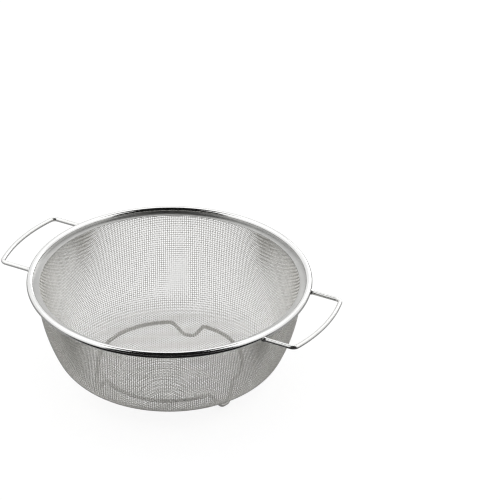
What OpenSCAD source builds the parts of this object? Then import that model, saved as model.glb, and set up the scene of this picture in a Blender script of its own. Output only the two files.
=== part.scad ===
// Mesh basket strainer: a woven wire bowl held in a rolled steel rim, with two wire
// loop handles and a wire foot ring bent down into three feet.
// Millimetres, +Z up. The origin is on the surface that the feet stand on, below the
// middle of the bowl. The handles lie along X.

/* [Basket] */
// Height from the basket's floor to the middle of the rolled edge
bowl_depth = 77; // [70:1:86]
// Radius of the flat floor, up to where it starts to curve upward
floor_r = 68; // [60:1:70]
// Radius of the curve between the floor and the side
corner_r = 28; // [20:1:30]
// Radius of the long outward curve of the side
side_curve_r = 145; // [140:1:180]
// Thickness of the woven cloth, two wires deep
cloth_t = 0.9; // [0.6:0.1:1]

/* [Rim] */
// Outside diameter of the rim
rim_d = 230; // [226:1:236]
// Diameter of the rolled edge
bead_d = 5.4; // [5:0.1:6]
// Thickness of the steel strip that is rolled into the rim
strip_t = 0.6; // [0.5:0.1:0.7]
// Width of the rim, from its outside to the lip's inner edge
rim_w = 10.3; // [9.8:0.1:11]
// How far the top of the lip lies below the middle of the rolled edge
lip_drop = 1.6; // [1.3:0.05:1.8]
// How far the lip stands inward of the cloth that it covers
lip_overhang = 1.3; // [0.8:0.1:1.6]

/* [Handles] */
// Diameter of the handle wire
handle_wire_d = 3.5; // [3:0.1:4.5]
// Distance between the two legs of a handle
handle_w = 80; // [60:1:100]
// Distance from the middle of the bowl to the middle of the grip's wire
grip_r = 140; // [134:1:150]
// Bend radius of the two corners of a handle
handle_bend_r = 5; // [4:0.5:9]
// How far the handles lie below the middle of the rolled edge
handle_drop = 1.8; // [1:0.1:2.4]

/* [Foot ring] */
// Diameter of the foot ring's wire
foot_wire_d = 3; // [2:0.1:4]
// Radius of the ring, to the middle of its wire
foot_ring_r = 59; // [50:1:64]
// How far each foot drops below the ring
foot_drop = 13.5; // [6:0.5:16]
// Width of the bend that makes a foot
foot_w = 31; // [20:0.5:36]
// How far a foot leans outward from the ring
foot_splay = 3; // [0:0.5:5]
// Angle of the first foot, measured from the right-hand handle
foot_turn = -15; // [-60:1:60]

/* [Hidden] */

$fn = 96;
fit_gap = 0.03;                      // left between pieces that touch
floor_z = foot_drop + foot_wire_d + fit_gap;
rim_z = floor_z + bowl_depth;
bead_r = bead_d / 2;
rim_r = rim_d / 2 - bead_r;          // middle of the rolled edge

// The lip is level. Its root ends inside the rolled strip's thickness.
strip_mid_r = bead_r - strip_t / 2;
lip_t = strip_t - 0.1;
lip_edge_r = rim_d / 2 - rim_w;
lip_top_z = rim_z - lip_drop;
lip_under_z = lip_top_z - lip_t;
lip_root_angle = asin((lip_drop + lip_t / 2) / strip_mid_r);   // below the level, on the inner side
lip_root_r = rim_r - strip_mid_r * cos(lip_root_angle);

// The seam, where the strip's rolled end stops short of the lip's root
seam_from = 180 + lip_root_angle + 8;
seam_to = seam_from + 20;

// The cloth runs up the side and bends outward under the lip, up to the rolled edge.
cloth_top_z = lip_under_z - fit_gap;
cloth_under_z = cloth_top_z - cloth_t;
cloth_end_r = rim_r - bead_r + 0.4;
side_top = [lip_edge_r + lip_overhang + cloth_t, cloth_under_z];   // outside of the cloth's bend

// The side's curve meets the corner's curve smoothly and passes through side_top.
corner_mid = [floor_r, floor_z + corner_r];
between_mids = side_curve_r - corner_r;
to_top = side_top - corner_mid;
mid_angle = atan2(to_top[1], to_top[0])
    + acos((pow(between_mids, 2) + pow(norm(to_top), 2) - pow(side_curve_r, 2))
           / (2 * norm(to_top) * between_mids));
side_mid = corner_mid + between_mids * [cos(mid_angle), sin(mid_angle)];
meet_angle = mid_angle - 180;
top_angle = asin((side_top[1] - side_mid[1]) / side_curve_r);

corner_steps = 12;
side_steps = 12;

// The points of an arc, without its first one
function arc(mid, r, from, to, steps) =
    [for (i = [1:steps]) let (a = from + (to - from) * i / steps) mid + r * [cos(a), sin(a)]];

// One face of the cloth, from the axis out and up, inset from the outside by t
function cloth_face(t) = concat(
    [[0, floor_z + t], [floor_r, floor_z + t]],
    arc(corner_mid, corner_r - t, -90, meet_angle, corner_steps),
    arc(side_mid, side_curve_r - t, meet_angle, top_angle, side_steps));

cloth_inside_top = side_top - cloth_t * [cos(top_angle), sin(top_angle)];
cloth_outside = cloth_face(0);
cloth_inside = cloth_face(cloth_t);

// A bent wire is a row of rings, one at each station of its path. A station holds the
// middle of the ring, the direction outward from the bend and the direction upward.
wire_sides = 12;

function wire_rings(stations, r) =
    [for (s = stations) [for (j = [0:wire_sides - 1])
        s[0] + r * (cos(360 * j / wire_sides) * s[1] + sin(360 * j / wire_sides) * s[2])]];

handle_z = rim_z - handle_drop;
handle_wire_r = handle_wire_d / 2;
corner_mid_y = handle_w / 2 - handle_bend_r;
corner_mid_x = sqrt(pow(grip_r - handle_bend_r, 2) - pow(corner_mid_y, 2));
grip_half_angle = atan2(corner_mid_y, corner_mid_x);
leg_under_rim = 0.8;                 // from the middle of the roll to the leg's end
leg_end_x = sqrt(pow(rim_r, 2) - pow(handle_w / 2, 2)) + leg_under_rim;
handle_corner_steps = 10;
grip_steps = 16;

function level_station(mid, r, a) =
    [[mid[0] + r * cos(a), mid[1] + r * sin(a), handle_z], [cos(a), sin(a), 0], [0, 0, 1]];

function level_bend(mid, r, from, to, steps) =
    [for (i = [0:steps]) level_station(mid, r, from + (to - from) * i / steps)];

handle_stations = concat(
    [level_station([leg_end_x, -corner_mid_y], handle_bend_r, -90)],
    level_bend([corner_mid_x, -corner_mid_y], handle_bend_r, -90, -grip_half_angle, handle_corner_steps),
    [for (i = [1:grip_steps - 1])
        level_station([0, 0], grip_r, grip_half_angle * (2 * i / grip_steps - 1))],
    level_bend([corner_mid_x, corner_mid_y], handle_bend_r, grip_half_angle, 90, handle_corner_steps),
    [level_station([leg_end_x, corner_mid_y], handle_bend_r, 90)]);

foot_wire_r = foot_wire_d / 2;
foot_half_angle = foot_w / 2 / foot_ring_r * 180 / PI;
foot_flat = 1 / 8;                   // share of a foot's half width that stays level
foot_count = 3;
foot_spacing = 360 / foot_count;
foot_steps = 24;
ring_steps = 14;

// 0 at the foot's lowest point, 1 on the ring, with a smooth run between them
function foot_rise(a) =
    let (u = min(1, max(0, (abs(a) / foot_half_angle - foot_flat) / (1 - foot_flat))))
    u * u * (3 - 2 * u);

// Angle from the nearest foot, between minus and plus half the spacing
function from_foot(a) =
    let (turns = (a - foot_turn) / foot_spacing)
    (turns - round(turns)) * foot_spacing;

function foot_path(a) =
    let (rise = foot_rise(from_foot(a)), r = foot_ring_r + foot_splay * (1 - rise))
    [r * cos(a), r * sin(a), foot_wire_r + foot_drop * rise];

function foot_station(a) =
    let (step = 0.05,
         way = foot_path(a + step) - foot_path(a - step),
         ahead = way / norm(way),
         rise = cross([cos(a), sin(a), 0], ahead),
         up = rise / norm(rise))
    [foot_path(a), cross(ahead, up), up];

foot_stations = [for (k = [0:foot_count - 1]) let (mid = foot_turn + k * foot_spacing)
    each concat(
        [for (i = [0:foot_steps - 1]) foot_station(mid + foot_half_angle * (2 * i / foot_steps - 1))],
        [for (i = [0:ring_steps - 1]) foot_station(
            mid + foot_half_angle + (foot_spacing - 2 * foot_half_angle) * i / ring_steps)])];

// The basket: one sheet of woven wire cloth, drawn into a flat-floored bowl
module mesh_basket() {
    color("silver")
        rotate_extrude()
            polygon(concat(
                cloth_outside,
                [[cloth_end_r, cloth_under_z]],
                [[cloth_end_r, cloth_top_z]],
                [[cloth_inside_top[0], cloth_top_z]],
                [for (i = [len(cloth_inside) - 1:-1:0]) cloth_inside[i]]));
}

// The steel strip: rolled round the core wire, with a level lip that covers the cloth's edge
module rim_band() {
    color("gainsboro") {
        rim_roll();
        rim_lip();
    }
}

module rim_roll() {
    beyond = 2 * bead_r;
    rotate_extrude()
        translate([rim_r, rim_z])
            difference() {
                circle(bead_r);
                circle(bead_r - strip_t);
                polygon([
                    [0, 0],
                    beyond * [cos(seam_from), sin(seam_from)],
                    beyond * [cos(seam_to), sin(seam_to)]]);
            }
}

module rim_lip() {
    rotate_extrude()
        translate([lip_edge_r, lip_under_z])
            square([lip_root_r - lip_edge_r, lip_t]);
}

// The hoop of wire inside the rolled edge, which keeps the rim round
module rim_core_wire() {
    color("darkgray")
        rotate_extrude()
            translate([rim_r, rim_z])
                circle(bead_r - strip_t - fit_gap);
}

// The skin of a bent wire, with flat ends unless it is a closed hoop
module wire(rings, closed) {
    last = len(rings) - 1;
    polyhedron(
        points = [for (ring = rings) each ring],
        faces = concat(
            [for (i = [0:closed ? last : last - 1]) for (j = [0:wire_sides - 1])
                let (a = i * wire_sides, b = (i + 1) % (last + 1) * wire_sides, k = (j + 1) % wire_sides)
                [a + j, a + k, b + k, b + j]],
            closed ? [] : [[for (j = [wire_sides - 1:-1:0]) j]],
            closed ? [] : [[for (j = [0:wire_sides - 1]) last * wire_sides + j]]));
}

// One bent wire, with its ends shaped to the underside of the rim that they are welded to
module handle() {
    color("silver")
        difference() {
            wire(wire_rings(handle_stations, handle_wire_r), false);
            rotate_extrude()
                translate([rim_r, rim_z])
                    circle(bead_r + fit_gap);
        }
}

module handle_right() {
    handle();
}

module handle_left() {
    rotate([0, 0, 180])
        handle();
}

// A closed hoop of wire under the floor, bent down smoothly three times to make feet
module foot_ring() {
    color("dimgray")
        wire(wire_rings(foot_stations, foot_wire_r), true);
}

mesh_basket();
rim_band();
rim_core_wire();
handle_left();
handle_right();
foot_ring();
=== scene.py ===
"""Looks for the mesh basket strainer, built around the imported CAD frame.

The CAD's basket is one sheet as thick as the cloth. Here it becomes the woven cloth itself:
every wire is a tube that passes over and under the wires it crosses. The rim, the handles
and the foot ring are replaced by smooth pieces of the same sizes. The core wire keeps its
CAD shape.

The object's shapes are worked out in millimetres in the CAD's frame and scaled to metres as
they are built. The stage is in metres.
"""

import math

import bpy
import numpy as np
from mathutils import Matrix, Vector


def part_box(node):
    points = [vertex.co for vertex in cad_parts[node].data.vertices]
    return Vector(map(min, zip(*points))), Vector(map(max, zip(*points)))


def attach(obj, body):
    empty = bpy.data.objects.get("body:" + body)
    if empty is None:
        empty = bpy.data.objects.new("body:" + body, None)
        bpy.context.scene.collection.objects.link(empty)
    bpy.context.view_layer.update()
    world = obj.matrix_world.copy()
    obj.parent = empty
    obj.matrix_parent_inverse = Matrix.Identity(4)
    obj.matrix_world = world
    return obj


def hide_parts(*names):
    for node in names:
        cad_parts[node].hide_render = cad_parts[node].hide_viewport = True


MM = 0.001

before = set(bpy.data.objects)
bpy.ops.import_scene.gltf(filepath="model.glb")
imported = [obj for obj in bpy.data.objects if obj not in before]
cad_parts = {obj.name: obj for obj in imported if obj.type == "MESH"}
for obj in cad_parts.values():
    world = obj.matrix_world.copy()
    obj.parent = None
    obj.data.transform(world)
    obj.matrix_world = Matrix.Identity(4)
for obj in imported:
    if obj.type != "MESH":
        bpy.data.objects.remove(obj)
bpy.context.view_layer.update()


def box_mm(node):
    """Lowest and highest corner of a CAD node, in millimetres."""
    low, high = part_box(node)
    return np.array(low) / MM, np.array(high) / MM


# ---- sizes from the frame ------------------------------------------------------------------
BASKET_LOW = box_mm("mesh_basket")[0]
BAND_HIGH = box_mm("rim_band")[1]
CORE_LOW, CORE_HIGH = box_mm("rim_core_wire")
HANDLE_LOW, HANDLE_HIGH = box_mm("handle_right")
FOOT_LOW, FOOT_HIGH = box_mm("foot_ring")

RIM_Z = (CORE_LOW[2] + CORE_HIGH[2]) / 2  # middle of the rolled edge
BEAD_R = BAND_HIGH[2] - RIM_Z  # radius of the rolled edge's section
RIM_R = BAND_HIGH[1] - BEAD_R  # from the middle of the bowl to the middle of the rolled edge
FLOOR_Z = BASKET_LOW[2]  # underside of the basket's floor
HANDLE_Z = (HANDLE_LOW[2] + HANDLE_HIGH[2]) / 2
HANDLE_WIRE_R = (HANDLE_HIGH[2] - HANDLE_LOW[2]) / 2

# ---- sizes of the design, as in the part's source ------------------------------------------
FLOOR_R = 68.0  # radius of the flat floor
CORNER_R = 28.0  # curve between the floor and the side
SIDE_CURVE_R = 145.0  # long outward curve of the side
CLOTH_T = 0.9  # thickness of the woven cloth, two wires deep
CLOTH_TUCK = 0.4  # how far the cloth's edge reaches in under the rolled edge
STRIP_T = 0.6  # steel strip rolled into the rim
LIP_THINNER = 0.1  # by how much the lip is thinner than the strip
RIM_W = 10.3  # from the rim's outside to the lip's inner edge
LIP_DROP = 1.6  # from the middle of the rolled edge down to the top of the lip
LIP_OVERHANG = 1.3  # how far the lip stands inward of the cloth
SEAM_CLEAR = 8.0  # degrees between the lip's root and the seam, where the strip's end stops short
SEAM_WIDE = 20.0  # degrees that the seam is open
FIT_GAP = 0.03  # between pieces that touch
HANDLE_W = 80.0  # between the legs of a handle
GRIP_R = 140.0  # from the middle of the bowl to the grip
HANDLE_BEND_R = 5.0
LEG_UNDER_RIM = 0.8  # from the middle of the roll to the leg's end
FOOT_RING_R = 59.0
FOOT_WIRE_D = 3.0
FOOT_W = 31.0  # width of the bend that makes a foot
FOOT_SPLAY = 3.0  # how far a foot leans outward from the ring
FOOT_TURN = -15.0  # degrees from +X to the first foot
FOOT_COUNT = 3
FOOT_FLAT = 1 / 8  # share of a foot's half width that stays level

# ---- sizes that only the looks have --------------------------------------------------------
PITCH = 1.672  # between neighbouring wires on the flat floor
WIRE_D = 0.46
CRIMP = (CLOTH_T - WIRE_D) / 2  # how far a wire swings to each side of the cloth's middle
LEVEL_SHARE = 0.25  # a wire lies level over this share of the pitch on each side of a crossing
CLOTH_TURN = 27.25  # degrees from +X to the direction of the first set of wires
TUCK_BEND_R = 1.0  # where the cloth bends outward under the lip
SIDE_MIDDLE_S = 101.0  # along the cloth from the axis, where the side starts to straighten
STRETCH_UP = (1.0, 1.03, 1.0)  # drawn out up the side: at the floor's edge, there and at the top
STRETCH_ROUND = (1.0, 1.0, 0.954)  # and round the bowl, at the same places
FILLET_ANGLE = 14.0  # where the soft bend into the lip leaves the roll
FILLET_REACH = 0.8  # how far it runs onto the lip
LIP_TOP_POINTS = (1.5, 3.0)  # inward of the crease, more points that keep the lip's shading flat
LIP_UNDER_POINTS = (3.0, 0.4)  # and the same on its underside
LIP_ROOT_WIDE = 6.0  # degrees of the roll's outside between the lip's underside and the seam
WELD_R = 0.55  # how much the weld thickens the wire where it meets the roll
WELD_LENGTH = 0.8

# ---- how finely the shapes are divided -----------------------------------------------------
WIRE_SIDES = 6
HANDLE_SIDES = 24
FOOT_SIDES = 20
RIM_SEGMENTS = 384
ROLL_POINTS = 72
ROLL_INSIDE_POINTS = 24
FILLET_STEPS = 5
LIP_EDGE_POINTS = 7
LEG_POINTS = 40
BEND_POINTS = 20
GRIP_POINTS = 50
FOOT_RING_STEP = 0.75  # degrees
PIECES_PER_SET = 4  # objects that each set of the cloth's wires is shared between
FEWEST_POINTS = 4  # a wire with fewer is left out
DRAWN_POINTS = 1200  # in the tables of the cloth's stretch
DRAWN_PAST_EDGE = 4.0  # how far those tables run past the cloth's edge
SHADE_SEED = 7  # for which of the cloth's steels each wire has

# ---- finding where wires cross, by Newton's method -----------------------------------------
SOLVE_ROUNDS = 12
SOLVE_STEP = 1e-4  # from one point to the next when a slope is measured
SOLVE_LEAST_R = 1.0  # smallest radius at which that step is made into an angle
SOLVE_LEAST_DET = 1e-9  # keeps it from dividing by 0
SOLVE_MOST_TURN = 0.2  # radians in one round
SOLVE_CLOSE = 1e-3  # a crossing counts if its squared distances are this near, in mm squared

# ---- the view, in degrees and millimetres --------------------------------------------------
VIEW_AZIMUTH = 30.0
VIEW_ELEVATION = 31.41
VIEW_DISTANCE = 2213.9
VIEW_LENS = 197.9
VIEW_ROLL = 0.454
AIM_RIGHT = 66.07  # the camera aims to the right of the basket's middle
AIM_BEHIND = 44.3  # and behind it, on the rim's plane
SENSOR_WIDTH = 36.0
CLIP_START = 0.1  # metres
CLIP_END = 50.0
PIXEL_FILTER = 1.25  # how softly a pixel takes in its neighbours

# ---- the stage, in metres ------------------------------------------------------------------
FLOOR_WIDTH = 12.0
FLOOR_PAINT = 0.25
FLOOR_GLOW = 0.8
FLOOR_ROUGH = 0.9
FLOOR_IN_METAL = 0.36  # brightness of the floor in the metal's reflections
ROOM_IN_METAL = 1.45  # brightness of the room there, high up
HORIZON_IN_METAL = 1.05  # and at the horizon
HORIZON_END = 0.4  # sine of the elevation where it starts to brighten
ROOM_START = 0.8  # and where it is brightest
ROOM_SEEN = 1.0  # brightness of the room for all other light
FLAG_AHEAD = 1.0  # how far the upright flag stands in front of the basket
FLAG_HEIGHT = 1.6
FLAG_WIDTH = 2.24
FLAG_BEHIND = 0.4  # how far the level flag reaches behind the basket
FLAG_LEVEL_WIDTH = 1.34
FLAG_LOW_FROM = 0.09  # a flag on the floor, just in front of the basket
FLAG_LOW_TO = 0.7
FLAG_LOW_WIDTH = 0.7
FLAG_LOW_LIFT = 0.002  # above the floor
SOFTBOX_TURN = 30.0  # degrees to the right of straight behind
SOFTBOX_ELEVATION = 24.0
SOFTBOX_DISTANCE = 1.6
SOFTBOX_WIDTH = 0.8
SOFTBOX_HEIGHT = 0.7
SOFTBOX_GLOW = 3.0

# ---- the grain of the solid steels ---------------------------------------------------------
PATCH_DETAIL = 4.0
GRAIN_FINER = 22  # how many times finer the grain is than the patches
GRAIN_DETAIL = 3.0
GRAIN_DEPTH = 0.0001  # metres
NOISE_LOW = 0.3  # the noise is taken as dark up to here
NOISE_HIGH = 0.7  # and as light from here


# ---- points and meshes ---------------------------------------------------------------------
def cos_sin(degrees):
    """The direction at that angle."""
    return np.array([math.cos(math.radians(degrees)), math.sin(math.radians(degrees))])


def unit(vectors):
    """The same directions with length 1."""
    return vectors / np.linalg.norm(vectors, axis=-1, keepdims=True)


def arc(middle, radius, start, end, count):
    """Points of an arc in its own plane, from one angle to another in degrees."""
    return [np.asarray(middle) + radius * cos_sin(a) for a in np.linspace(start, end, count)]


def ring_quads(first, second, sides):
    """Faces between rings of points that start at the indices in first and second."""
    k = np.arange(sides)
    k_next = (k + 1) % sides
    first, second = first[:, None], second[:, None]
    quads = np.stack([first + k, first + k_next, second + k_next, second + k], axis=-1)
    return quads.reshape(-1, 4)


def cap_quads(first, sides, flip):
    """Faces that close the ring of points that starts at first, with an even number of sides."""
    k = np.arange(sides // 2 - 1)
    corners = np.stack([k, k + 1, sides - 2 - k, sides - 1 - k], axis=-1)
    return first + (corners[:, ::-1] if flip else corners)


def tube(path, up, radius, sides, closed=False):
    """Points and faces of a round wire along a path. Each ring's first point lies about where
    up points."""
    if closed:
        ahead = unit(np.roll(path, -1, axis=0) - np.roll(path, 1, axis=0))
    else:
        ahead = unit(np.gradient(path, axis=0))
    side = unit(np.cross(ahead, up))
    rise = np.cross(side, ahead)
    angle = (np.arange(sides) * 2 * np.pi / sides)[None, :, None]
    radius = np.broadcast_to(radius, len(path))[:, None, None]
    spokes = np.cos(angle) * rise[:, None, :] + np.sin(angle) * side[:, None, :]
    points = path[:, None, :] + radius * spokes
    first = np.arange(len(path)) * sides
    quads = [ring_quads(first[:-1], first[1:], sides)]
    if closed:
        quads.append(ring_quads(first[-1:], first[:1], sides))
    else:
        quads.append(cap_quads(first[0], sides, True))
        quads.append(cap_quads(first[-1], sides, False))
    return points.reshape(-1, 3), np.vstack(quads)


def revolve(outline, segments):
    """Points and faces of a closed (radius, height) outline turned round the Z axis."""
    radius, height = np.asarray(outline, float).T
    turn = (np.arange(segments) * 2 * np.pi / segments)[:, None]
    x, y = np.cos(turn) * radius, np.sin(turn) * radius
    points = np.stack([x, y, np.broadcast_to(height, x.shape)], axis=-1)
    first = np.arange(segments) * len(outline)
    quads = ring_quads(first, np.roll(first, -1), len(outline))
    return points.reshape(-1, 3), quads[:, ::-1]


def mesh_object(name, points_mm, quads, materials, face_materials=None):
    """A smooth-shaded piece from points in millimetres and four-cornered faces. face_materials
    numbers each face's material."""
    points = np.asarray(points_mm, dtype=np.float32) * MM
    quads = np.asarray(quads, dtype=np.int32)
    mesh = bpy.data.meshes.new(name)
    mesh.vertices.add(len(points))
    mesh.vertices.foreach_set("co", points.ravel())
    mesh.loops.add(quads.size)
    mesh.loops.foreach_set("vertex_index", quads.ravel())
    mesh.polygons.add(len(quads))
    mesh.polygons.foreach_set("loop_start", np.arange(0, quads.size, 4, dtype=np.int32))
    mesh.polygons.foreach_set("use_smooth", np.ones(len(quads), dtype=bool))
    for material in materials:
        mesh.materials.append(material)
    if face_materials is not None:
        mesh.polygons.foreach_set("material_index", np.asarray(face_materials, dtype=np.int32))
    mesh.update(calc_edges=True)
    obj = bpy.data.objects.new(name, mesh)
    bpy.context.collection.objects.link(obj)
    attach(obj, "root")
    return obj


# ---- the section of the rim's lip and of the cloth -----------------------------------------
STRIP_MID_R = BEAD_R - STRIP_T / 2
LIP_SHEET_T = STRIP_T - LIP_THINNER
LIP_EDGE_R = RIM_R + BEAD_R - RIM_W
LIP_TOP_Z = RIM_Z - LIP_DROP
LIP_UNDER_Z = LIP_TOP_Z - LIP_SHEET_T
LIP_ROOT_ANGLE = math.degrees(math.asin((LIP_DROP + LIP_SHEET_T / 2) / STRIP_MID_R))
SEAM_FROM = 180 + LIP_ROOT_ANGLE + SEAM_CLEAR
SEAM_TO = SEAM_FROM + SEAM_WIDE
CLOTH_UNDER_Z = LIP_UNDER_Z - FIT_GAP - CLOTH_T
CLOTH_END_R = RIM_R - BEAD_R + CLOTH_TUCK


def cloth_section():
    """The cloth's middle surface, from the axis out and up: the level floor, the corner's arc,
    the side's arc, a small bend and the level edge under the lip.

    Returns a function from the distance s along it to (radius, height, outward direction), and
    the distances of the top of the side and of the cloth's edge."""
    half = CLOTH_T / 2
    side_top = np.array([LIP_EDGE_R + LIP_OVERHANG + CLOTH_T, CLOTH_UNDER_Z])
    corner_mid = np.array([FLOOR_R, FLOOR_Z + CORNER_R])
    to_top = side_top - corner_mid
    between = SIDE_CURVE_R - CORNER_R
    reach = np.linalg.norm(to_top)
    mid_angle = math.atan2(to_top[1], to_top[0]) + math.acos(
        (between**2 + reach**2 - SIDE_CURVE_R**2) / (2 * reach * between)
    )
    side_mid = corner_mid + between * np.array([math.cos(mid_angle), math.sin(mid_angle)])
    meet = mid_angle - math.pi
    corner_r = CORNER_R - half
    wall_r = SIDE_CURVE_R - half
    level_z = CLOTH_UNDER_Z + half
    top = math.asin((level_z - TUCK_BEND_R - side_mid[1]) / (wall_r + TUCK_BEND_R))
    bend_mid = side_mid + (wall_r + TUCK_BEND_R) * np.array([math.cos(top), math.sin(top)])
    corner_s = FLOOR_R + corner_r * (meet + math.pi / 2)
    side_s = corner_s + wall_r * (top - meet)
    bend_s = side_s + TUCK_BEND_R * (math.pi / 2 + top)
    edge_s = bend_s + CLOTH_END_R - bend_mid[0]

    def at(s):
        """Radius, height, and the two parts of the outward direction, at the distances s."""
        s = np.asarray(s, float)
        a_corner = -math.pi / 2 + (s - FLOOR_R) / corner_r
        a_side = meet + (s - corner_s) / wall_r
        a_bend = top - (s - side_s) / TUCK_BEND_R
        a_level = np.full_like(s, -math.pi / 2)
        where = [s < FLOOR_R, s < corner_s, s < side_s, s < bend_s]
        r = np.select(
            where,
            [
                s,
                corner_mid[0] + corner_r * np.cos(a_corner),
                side_mid[0] + wall_r * np.cos(a_side),
                bend_mid[0] - TUCK_BEND_R * np.cos(a_bend),
            ],
            bend_mid[0] + s - bend_s,
        )
        z = np.select(
            where,
            [
                np.full_like(s, FLOOR_Z + half),
                corner_mid[1] + corner_r * np.sin(a_corner),
                side_mid[1] + wall_r * np.sin(a_side),
                bend_mid[1] - TUCK_BEND_R * np.sin(a_bend),
            ],
            level_z,
        )
        a = np.select(where, [a_level, a_corner, a_side, a_bend], a_level)
        return r, z, np.cos(a), np.sin(a)

    return at, side_s, edge_s


CLOTH_AT, SIDE_TOP_S, CLOTH_EDGE_S = cloth_section()
STRETCH_S = (FLOOR_R, SIDE_MIDDLE_S, SIDE_TOP_S)  # where the stretches are given


def drawn_lengths():
    """Tables of the distance along the finished cloth, and of the distance that the same wires
    had in the flat cloth."""
    s = np.linspace(0, CLOTH_EDGE_S + DRAWN_PAST_EDGE, DRAWN_POINTS)
    step = np.diff(s, prepend=0)
    return s, np.cumsum(step / np.interp(s, STRETCH_S, STRETCH_UP))


DRAWN_S, FLAT_S = drawn_lengths()
EDGE_FLAT = float(np.interp(CLOTH_EDGE_S, DRAWN_S, FLAT_S))


# ---- the net of the woven cloth ------------------------------------------------------------
# A crossing's place is (s, t): its distance from the axis along the flat cloth, and its
# direction in radians.
def radius_at(flat):
    """Radius that the cloth would have there without its stretch round the bowl."""
    s = np.interp(flat, FLAT_S, DRAWN_S)
    return CLOTH_AT(s)[0] / np.interp(s, STRETCH_S, STRETCH_ROUND)


def pitch_error(s, t, s_other, t_other):
    """By how much the squared distance between two crossings is more than the pitch squared."""
    chord = 4 * radius_at(s_other) * radius_at(s) * np.sin((t - t_other) / 2) ** 2
    return (s - s_other) ** 2 + chord - PITCH**2


def first_guess(a, b, before):
    """The fourth corner of the mesh that has its other corners at before, a and b."""
    (s_a, t_a), (s_b, t_b), (s_o, t_o) = a, b, before
    r_a, r_b, r_o = radius_at(s_a), radius_at(s_b), radius_at(s_o)
    x = r_a * np.cos(t_a) + r_b * np.cos(t_b) - r_o * np.cos(t_o)
    y = r_a * np.sin(t_a) + r_b * np.sin(t_b) - r_o * np.sin(t_o)
    return s_a + s_b - s_o, np.arctan2(y, x)


def solve_crossing(s, t, a, b):
    """The place near (s, t) that is one pitch away from both a and b."""
    for _ in range(SOLVE_ROUNDS):
        to_a, to_b = pitch_error(s, t, *a), pitch_error(s, t, *b)
        a_by_s = (pitch_error(s + SOLVE_STEP, t, *a) - to_a) / SOLVE_STEP
        b_by_s = (pitch_error(s + SOLVE_STEP, t, *b) - to_b) / SOLVE_STEP
        t_step = SOLVE_STEP / np.maximum(radius_at(s), SOLVE_LEAST_R)
        a_by_t = (pitch_error(s, t + t_step, *a) - to_a) / t_step
        b_by_t = (pitch_error(s, t + t_step, *b) - to_b) / t_step
        det = a_by_s * b_by_t - b_by_s * a_by_t
        det = np.where(np.abs(det) < SOLVE_LEAST_DET, SOLVE_LEAST_DET, det)
        s_move = (to_a * b_by_t - to_b * a_by_t) / det
        t_move = (a_by_s * to_b - b_by_s * to_a) / det
        s = s - np.clip(s_move, -PITCH, PITCH)
        t = t - np.clip(t_move, -SOLVE_MOST_TURN, SOLVE_MOST_TURN)
    return s, t


def quarter_net():
    """Where the two sets of wires cross, for one quarter of the cloth: a net of equal meshes laid
    over the bowl from the middle of its floor. Returns the place of crossing (i, j) as two square
    tables, with nan where the net runs off the bowl."""
    far = FLAT_S[-1]
    size = 2 * (int(far / PITCH) + 2)
    dist = np.full((size, size), np.nan)
    turn = np.full((size, size), np.nan)
    along = np.arange(size) * PITCH
    along = along[along <= far]
    dist[: len(along), 0] = along
    dist[0, : len(along)] = along
    turn[: len(along), 0] = 0.0
    turn[0, : len(along)] = math.pi / 2

    def crossing(i, j):
        return dist[i, j], turn[i, j]

    for total in range(2, size):
        i = np.arange(1, total)
        j = total - i
        known = np.isfinite(dist[i - 1, j]) & np.isfinite(dist[i, j - 1])
        if not known.any():
            break
        i, j = i[known], j[known]
        a, b = crossing(i - 1, j), crossing(i, j - 1)
        s, t = solve_crossing(*first_guess(a, b, crossing(i - 1, j - 1)), a, b)
        good = (np.abs(pitch_error(s, t, *a)) < SOLVE_CLOSE) & (s < far)
        good &= s > np.maximum(a[0], b[0]) - PITCH
        dist[i[good], j[good]] = s[good]
        turn[i[good], j[good]] = t[good]
    return dist, turn


def whole_net():
    """The net over all four quarters: the rows' numbers, counted from the middle, and the
    crossings' flat x and y as tables."""
    dist, turn = quarter_net()
    size = max(places.max() for places in np.nonzero(np.isfinite(dist))) + 1
    index = np.arange(1 - size, size)
    quarter = np.ix_(np.abs(index), np.abs(index))
    x = (dist * np.cos(turn))[quarter] * np.sign(index)[:, None]
    y = (dist * np.sin(turn))[quarter] * np.sign(index)
    return index, x, y


def place_on_cloth(x, y, lift):
    """Points of the bowl from flat (x, y), lifted outward from the cloth's middle surface, with
    the outward direction and the flat distance from the axis."""
    flat = np.hypot(x, y)
    turn = np.arctan2(y, x) + math.radians(CLOTH_TURN)
    r, z, out_r, out_z = CLOTH_AT(np.interp(flat, FLAT_S, DRAWN_S))
    around = np.stack([np.cos(turn), np.sin(turn)], axis=-1)
    normal = np.concatenate([around * out_r[..., None], out_z[..., None]], axis=-1)
    middle = np.concatenate([around * r[..., None], z[..., None]], axis=-1)
    return middle + lift[..., None] * normal, normal, flat


def wire_row(xs, ys, index, parity):
    """The path of one wire through its crossings and the cloth's outward direction along it, or
    None where too little of the wire is on the bowl."""
    ok = np.isfinite(xs)
    xs, ys, index = xs[ok], ys[ok], index[ok]
    if len(xs) < FEWEST_POINTS:
        return None
    places = np.arange(len(xs))
    steps = np.sort(np.concatenate([places - LEVEL_SHARE, places + LEVEL_SHARE]))
    steps = steps[(steps >= 0) & (steps <= places[-1])]
    x = np.interp(steps, places, xs)
    y = np.interp(steps, places, ys)
    crossing = index[np.round(steps).astype(int)]
    lift = np.where((crossing + parity) % 2 == 0, CRIMP, -CRIMP)
    points, normal, flat = place_on_cloth(x, y, lift)
    keep = flat <= EDGE_FLAT
    if keep.sum() < FEWEST_POINTS:
        return None
    return points[keep], normal[keep]


def wire_rows():
    """All wires of both sets: two lists of (path, outward directions)."""
    index, x, y = whole_net()
    sets = []
    for shift, (all_x, all_y) in enumerate([(x, y), (x.T, y.T)]):
        wires = zip(all_x, all_y, index)
        rows = [wire_row(xs, ys, index, number + shift) for xs, ys, number in wires]
        sets.append([row for row in rows if row is not None])
    return sets


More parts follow.
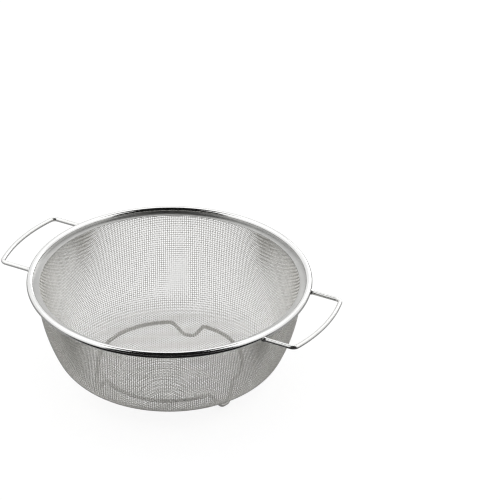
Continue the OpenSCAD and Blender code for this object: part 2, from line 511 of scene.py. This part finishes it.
# ---- the object's pieces -------------------------------------------------------------------
def cloth_piece(name, rows, materials, rng):
    """Neighbouring wires as one piece. Each wire has one of the materials, at random."""
    points, quads, shades = [], [], []
    start = 0
    for path, normal in rows:
        p, q = tube(path, normal, WIRE_D / 2, WIRE_SIDES)
        points.append(p)
        quads.append(q + start)
        shades.append(np.full(len(q), rng.integers(len(materials))))
        start += len(p)
    points, quads, shades = np.vstack(points), np.vstack(quads), np.concatenate(shades)
    return mesh_object(name, points, quads, materials, shades)


def build_cloth(materials):
    """The woven cloth, in pieces of about equal size."""
    rng = np.random.default_rng(SHADE_SEED)
    for name, rows in zip(("cloth_warp", "cloth_weft"), wire_rows()):
        lengths = np.cumsum([len(path) for path, _ in rows])
        share = np.minimum((lengths - 1) * PIECES_PER_SET // lengths[-1], PIECES_PER_SET - 1)
        for part in range(PIECES_PER_SET):
            mine = [row for row, number in zip(rows, share) if number == part]
            obj = cloth_piece(f"{name}_{part + 1}", mine, materials, rng)
            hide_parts("mesh_basket")


def rim_outline():
    """The section of the rolled strip: round the core wire, then level into the lip with its
    rounded free edge, and back inside the roll. The first ROLL_POINTS are the roll's outside."""
    half = LIP_SHEET_T / 2
    roll_mid = np.array([RIM_R, RIM_Z])
    crease = 180 + math.degrees(math.asin(LIP_DROP / BEAD_R))
    crease_r = RIM_R + BEAD_R * math.cos(math.radians(crease))
    points = arc(roll_mid, BEAD_R, SEAM_TO - 360, crease - FILLET_ANGLE, ROLL_POINTS)
    fillet_from = points[-1]
    fillet_over = np.array([crease_r, LIP_TOP_Z])
    fillet_to = np.array([crease_r - FILLET_REACH, LIP_TOP_Z])
    for t in np.arange(1, FILLET_STEPS + 1) / FILLET_STEPS:
        points.append((1 - t) ** 2 * fillet_from + 2 * t * (1 - t) * fillet_over + t * t * fillet_to)
    points += [(crease_r - inward, LIP_TOP_Z) for inward in LIP_TOP_POINTS]
    points += arc((LIP_EDGE_R + half, LIP_TOP_Z - half), half, 90, 270, LIP_EDGE_POINTS)
    points += [(crease_r - inward, LIP_UNDER_Z) for inward in LIP_UNDER_POINTS]
    points += arc(roll_mid, BEAD_R, SEAM_FROM - LIP_ROOT_WIDE, SEAM_FROM, 2)
    points += arc(roll_mid, BEAD_R - STRIP_T, SEAM_FROM, SEAM_TO - 360, ROLL_INSIDE_POINTS)
    return points


def build_rim(roll_material, shaded_lip_material):
    """The rolled strip as one piece, with its lip and its inside in a darker copy of its steel that
    paints their shade.
    """
    outline = rim_outline()
    points, quads = revolve(outline, RIM_SEGMENTS)
    # faces past the roll take the darker lip steel: painted shade on the lip and the strip's inside
    past_roll = np.tile(np.arange(len(outline)) >= ROLL_POINTS - 1, RIM_SEGMENTS)
    materials = [roll_material, shaded_lip_material]
    obj = mesh_object("rim_roll", points, quads, materials, past_roll)
    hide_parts("rim_band")


def handle_path():
    """The middle line of the right-hand handle's wire, from leg end to leg end."""
    corner_y = HANDLE_W / 2 - HANDLE_BEND_R
    corner_x = math.sqrt((GRIP_R - HANDLE_BEND_R) ** 2 - corner_y**2)
    grip_half = math.degrees(math.atan2(corner_y, corner_x))
    leg_end = math.sqrt(RIM_R**2 - (HANDLE_W / 2) ** 2) + LEG_UNDER_RIM
    legs = np.linspace(leg_end, corner_x, LEG_POINTS)[:-1]
    path = [(x, -HANDLE_W / 2) for x in legs]
    path += arc((corner_x, -corner_y), HANDLE_BEND_R, -90, -grip_half, BEND_POINTS)
    path += arc((0, 0), GRIP_R, -grip_half, grip_half, GRIP_POINTS)[1:-1]
    path += arc((corner_x, corner_y), HANDLE_BEND_R, grip_half, 90, BEND_POINTS)
    path += [(x, HANDLE_W / 2) for x in legs[::-1]]
    return np.array([(x, y, HANDLE_Z) for x, y in path])


def build_handles(material):
    """Both handles. A weld thickens the wire smoothly where its legs run under the roll."""
    path = handle_path()
    past_roll = np.hypot(path[:, 0], path[:, 1]) - RIM_R - BEAD_R
    weld = WELD_R * np.exp(-((np.maximum(past_roll, 0) / WELD_LENGTH) ** 2))
    points, quads = tube(path, np.array([0, 0, 1.0]), HANDLE_WIRE_R + weld, HANDLE_SIDES)
    for name, flip in (("handle_right", 1), ("handle_left", -1)):
        turned = points * np.array([flip, flip, 1])
        obj = mesh_object(f"{name}_wire", turned, quads, [material])
        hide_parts(name)


def build_foot_ring(material):
    """One closed hoop, level between the feet and bent smoothly down to each of them."""
    wire_r = FOOT_WIRE_D / 2
    drop = FOOT_HIGH[2] - FOOT_LOW[2] - 2 * wire_r
    half_angle = math.degrees(FOOT_W / 2 / FOOT_RING_R)
    spacing = 360 / FOOT_COUNT
    a = np.arange(0, 360, FOOT_RING_STEP)
    turns = (a - FOOT_TURN) / spacing
    away = (turns - np.round(turns)) * spacing
    u = np.clip((np.abs(away) / half_angle - FOOT_FLAT) / (1 - FOOT_FLAT), 0, 1)
    rise = u * u * (3 - 2 * u)
    z = FOOT_LOW[2] + wire_r + drop * rise
    ring_r = FOOT_RING_R + FOOT_SPLAY * (1 - rise)
    x_way, y_way = np.cos(np.radians(a)), np.sin(np.radians(a))
    path = np.stack([ring_r * x_way, ring_r * y_way, z], axis=-1)
    out = np.stack([x_way, y_way, np.zeros_like(a)], axis=-1)
    points, quads = tube(path, out, wire_r, FOOT_SIDES, closed=True)
    obj = mesh_object("foot_ring_wire", points, quads, [material])
    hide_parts("foot_ring")


def finish_core_wire(material):
    """The core wire keeps its CAD mesh and gets a better material."""
    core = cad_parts["rim_core_wire"]
    core.data.materials.clear()
    core.data.materials.append(material)


# ---- materials -----------------------------------------------------------------------------
def steel(name, colour, roughness):
    """Plain stainless steel with the same finish all over."""
    material = bpy.data.materials.new(name)
    material.use_nodes = True
    shader = material.node_tree.nodes["Principled BSDF"]
    shader.inputs["Base Color"].default_value = (*colour, 1)
    shader.inputs["Metallic"].default_value = 1.0
    shader.inputs["Roughness"].default_value = roughness
    return material


def noise(tree, scale, detail):
    """Soft noise over the object, from 0 to 1."""
    coords = tree.nodes.new("ShaderNodeTexCoord")
    texture = tree.nodes.new("ShaderNodeTexNoise")
    texture.inputs["Scale"].default_value = scale
    texture.inputs["Detail"].default_value = detail
    tree.links.new(coords.outputs["Object"], texture.inputs["Vector"])
    return texture.outputs["Fac"]


def worked_steel(name, dark, light, smooth, rough, scale, bump):
    """Stainless steel whose colour varies in soft patches, and whose roughness and relief vary
    in a much finer grain."""
    material = steel(name, dark, smooth)
    tree = material.node_tree
    nodes, links = tree.nodes, tree.links
    shader = nodes["Principled BSDF"]
    ramp = nodes.new("ShaderNodeValToRGB")
    low, high = ramp.color_ramp.elements
    low.position, high.position = NOISE_LOW, NOISE_HIGH
    low.color, high.color = (*dark, 1), (*light, 1)
    links.new(noise(tree, scale, PATCH_DETAIL), ramp.inputs["Fac"])
    links.new(ramp.outputs["Color"], shader.inputs["Base Color"])
    grain = noise(tree, scale * GRAIN_FINER, GRAIN_DETAIL)
    spread = nodes.new("ShaderNodeMapRange")
    spread.inputs["From Min"].default_value = NOISE_LOW
    spread.inputs["From Max"].default_value = NOISE_HIGH
    spread.inputs["To Min"].default_value = smooth
    spread.inputs["To Max"].default_value = rough
    links.new(grain, spread.inputs["Value"])
    links.new(spread.outputs["Result"], shader.inputs["Roughness"])
    relief = nodes.new("ShaderNodeBump")
    relief.inputs["Strength"].default_value = bump
    relief.inputs["Distance"].default_value = GRAIN_DEPTH
    links.new(grain, relief.inputs["Height"])
    links.new(relief.outputs["Normal"], shader.inputs["Normal"])
    return material


def cloth_steels():
    """Satin wire. No two wires are quite alike, so there are three steels to share out."""
    return [
        steel("cloth_steel_a", colour=(0.79, 0.78, 0.75), roughness=0.42),
        steel("cloth_steel_b", colour=(0.83, 0.82, 0.79), roughness=0.38),
        steel("cloth_steel_c", colour=(0.75, 0.74, 0.71), roughness=0.48),
    ]


def rim_steel():
    """The polished roll."""
    dark, light = (0.74, 0.74, 0.735), (0.80, 0.80, 0.79)
    return worked_steel("rim_steel", dark, light, smooth=0.11, rough=0.16, scale=60, bump=0.006)


def shaded_lip_steel():
    """The lip and the strip's inside, duller than the roll and darker too: the darker colour is
    painted shade on the same strip's steel.
    """
    dark, light = (0.40, 0.40, 0.395), (0.46, 0.46, 0.45)
    return worked_steel("shaded_lip_steel", dark, light, smooth=0.34, rough=0.44, scale=60, bump=0.006)


def handle_steel():
    """Bright drawn wire."""
    dark, light = (0.70, 0.70, 0.69), (0.76, 0.76, 0.75)
    return worked_steel("handle_steel", dark, light, smooth=0.18, rough=0.26, scale=90, bump=0.02)


def shaded_foot_steel():
    """Drawn wire in a darker colour than the handles, painted shade for the ring under the basket.
    """
    dark, light = (0.44, 0.43, 0.415), (0.52, 0.51, 0.49)
    return worked_steel("shaded_foot_steel", dark, light, smooth=0.25, rough=0.34, scale=90, bump=0.04)


def core_steel():
    """Plain wire. The roll hides it."""
    return steel("core_steel", colour=(0.5, 0.49, 0.47), roughness=0.4)


# ---- camera --------------------------------------------------------------------------------
def make_camera():
    """The camera looks down at the basket from in front, with the right handle nearer to it
    than the left one."""
    right = np.array([*cos_sin(VIEW_AZIMUTH), 0.0])
    behind = np.array([*cos_sin(VIEW_AZIMUTH + 90), 0.0])
    level, up = cos_sin(VIEW_ELEVATION)
    middle = np.array([0.0, 0.0, RIM_Z])
    place = middle + VIEW_DISTANCE * (-level * behind + up * np.array([0, 0, 1.0]))
    aim = middle + AIM_RIGHT * right + AIM_BEHIND * behind
    data = bpy.data.cameras.new("camera")
    data.sensor_width = SENSOR_WIDTH
    data.lens = VIEW_LENS
    data.clip_start = CLIP_START
    data.clip_end = CLIP_END
    camera = bpy.data.objects.new("camera", data)
    bpy.context.collection.objects.link(camera)
    turn = Vector(aim - place).to_track_quat("-Z", "Y").to_matrix()
    turn = turn @ Matrix.Rotation(math.radians(VIEW_ROLL), 3, "Z")
    camera.matrix_world = Matrix.Translation(Vector(place * MM)) @ turn.to_4x4()
    bpy.context.scene.camera = camera


# ---- stage ---------------------------------------------------------------------------------
def plane(name, middle, x_way, y_way, width, height):
    """A flat panel of the stage."""
    x_way, y_way = Vector(x_way).normalized(), Vector(y_way).normalized()
    corners = [
        Vector(middle) + x_way * width * a / 2 + y_way * height * b / 2
        for a, b in ((-1, -1), (1, -1), (1, 1), (-1, 1))
    ]
    mesh = bpy.data.meshes.new(name)
    mesh.from_pydata(corners, [], [(0, 1, 2, 3)])
    obj = bpy.data.objects.new(name, mesh)
    bpy.context.collection.objects.link(obj)
    return obj


def emission(name, colour, strength):
    """A material that only glows. In black it reflects nothing."""
    material = bpy.data.materials.new(name)
    material.use_nodes = True
    nodes = material.node_tree.nodes
    nodes.clear()
    glow = nodes.new("ShaderNodeEmission")
    glow.inputs["Color"].default_value = (*colour, 1)
    glow.inputs["Strength"].default_value = strength
    out = nodes.new("ShaderNodeOutputMaterial")
    material.node_tree.links.new(glow.outputs["Emission"], out.inputs["Surface"])
    return material


def reflected_panel(name, middle, x_way, y_way, width, height, material):
    """A studio panel that only the metal's reflections see."""
    panel = plane(name, middle, x_way, y_way, width, height)
    panel.data.materials.append(material)
    panel.visible_camera = False
    panel.visible_diffuse = False
    panel.visible_shadow = False


def white_world():
    """A white room. In the metal's reflections it is dimmer at the horizon than above."""
    world = bpy.data.worlds.new("studio")
    bpy.context.scene.world = world
    world.use_nodes = True
    nodes, links = world.node_tree.nodes, world.node_tree.links
    background = nodes["Background"]
    background.inputs["Color"].default_value = (1, 1, 1, 1)
    coords = nodes.new("ShaderNodeTexCoord")
    split = nodes.new("ShaderNodeSeparateXYZ")
    links.new(coords.outputs["Generated"], split.inputs["Vector"])
    in_metal = nodes.new("ShaderNodeMapRange")
    in_metal.interpolation_type = "SMOOTHSTEP"
    in_metal.inputs["From Min"].default_value = HORIZON_END
    in_metal.inputs["From Max"].default_value = ROOM_START
    in_metal.inputs["To Min"].default_value = HORIZON_IN_METAL
    in_metal.inputs["To Max"].default_value = ROOM_IN_METAL
    links.new(split.outputs["Z"], in_metal.inputs["Value"])
    path = nodes.new("ShaderNodeLightPath")
    level = nodes.new("ShaderNodeMapRange")
    level.inputs["To Min"].default_value = ROOM_SEEN
    links.new(path.outputs["Is Glossy Ray"], level.inputs["Value"])
    links.new(in_metal.outputs["Result"], level.inputs["To Max"])
    links.new(level.outputs["Result"], background.inputs["Strength"])


def floor_paint():
    """White for the camera, mostly by its own glow, so that shadows stay faint. Grey in the
    metal's reflections."""
    paint = bpy.data.materials.new("floor_white")
    paint.use_nodes = True
    nodes, links = paint.node_tree.nodes, paint.node_tree.links
    shader = nodes["Principled BSDF"]
    shader.inputs["Base Color"].default_value = (FLOOR_PAINT, FLOOR_PAINT, FLOOR_PAINT, 1)
    shader.inputs["Roughness"].default_value = FLOOR_ROUGH
    shader.inputs["Specular IOR Level"].default_value = 0.0
    shader.inputs["Emission Color"].default_value = (1, 1, 1, 1)
    shader.inputs["Emission Strength"].default_value = FLOOR_GLOW
    grey = nodes.new("ShaderNodeEmission")
    grey.inputs["Strength"].default_value = FLOOR_IN_METAL
    path = nodes.new("ShaderNodeLightPath")
    mix = nodes.new("ShaderNodeMixShader")
    links.new(path.outputs["Is Glossy Ray"], mix.inputs["Fac"])
    links.new(shader.outputs["BSDF"], mix.inputs[1])
    links.new(grey.outputs["Emission"], mix.inputs[2])
    links.new(mix.outputs["Shader"], nodes["Material Output"].inputs["Surface"])
    return paint


def make_flags(front, across, upward):
    """Black flags in front of, over and at the foot of the basket. They draw the dark bands in
    the rim's reflections."""
    flags = {
        "flag_upright": (
            front * FLAG_AHEAD + upward * FLAG_HEIGHT / 2,
            upward,
            FLAG_WIDTH,
            FLAG_HEIGHT,
        ),
        "flag_level": (
            front * (FLAG_AHEAD - FLAG_BEHIND) / 2 + upward * FLAG_HEIGHT,
            front,
            FLAG_LEVEL_WIDTH,
            FLAG_AHEAD + FLAG_BEHIND,
        ),
        "flag_low": (
            front * (FLAG_LOW_FROM + FLAG_LOW_TO) / 2 + upward * FLAG_LOW_LIFT,
            front,
            FLAG_LOW_WIDTH,
            FLAG_LOW_TO - FLAG_LOW_FROM,
        ),
    }
    for name, (middle, y_way, width, height) in flags.items():
        black = emission(name, (0, 0, 0), 0.0)
        reflected_panel(name, middle, across, y_way, width, height, black)


def make_softbox(front, across, upward):
    """A softbox behind the basket, turned to face it."""
    behind, right = cos_sin(SOFTBOX_TURN)
    away = -front * behind + across * right
    level, up = cos_sin(SOFTBOX_ELEVATION)
    way = away * level + upward * up
    x_way = np.cross(away, upward)
    y_way = np.cross(x_way, way)
    white = emission("softbox_glow", (1, 1, 1), SOFTBOX_GLOW)
    middle = way * SOFTBOX_DISTANCE
    reflected_panel("softbox", middle, x_way, y_way, SOFTBOX_WIDTH, SOFTBOX_HEIGHT, white)


def make_stage():
    """The room, the floor, the flags and the softbox."""
    white_world()
    floor = plane("floor", (0, 0, 0), (1, 0, 0), (0, 1, 0), FLOOR_WIDTH, FLOOR_WIDTH)
    floor.data.materials.append(floor_paint())
    front = np.array([*cos_sin(VIEW_AZIMUTH - 90), 0.0])
    across = np.array([*cos_sin(VIEW_AZIMUTH), 0.0])
    upward = np.array([0, 0, 1.0])
    make_flags(front, across, upward)
    make_softbox(front, across, upward)
    bpy.context.scene.view_settings.view_transform = "Standard"
    bpy.context.scene.cycles.filter_width = PIXEL_FILTER


# ---- build ---------------------------------------------------------------------------------
make_camera()
make_stage()
build_cloth(cloth_steels())
build_rim(rim_steel(), shaded_lip_steel())
build_handles(handle_steel())
build_foot_ring(shaded_foot_steel())
finish_core_wire(core_steel())
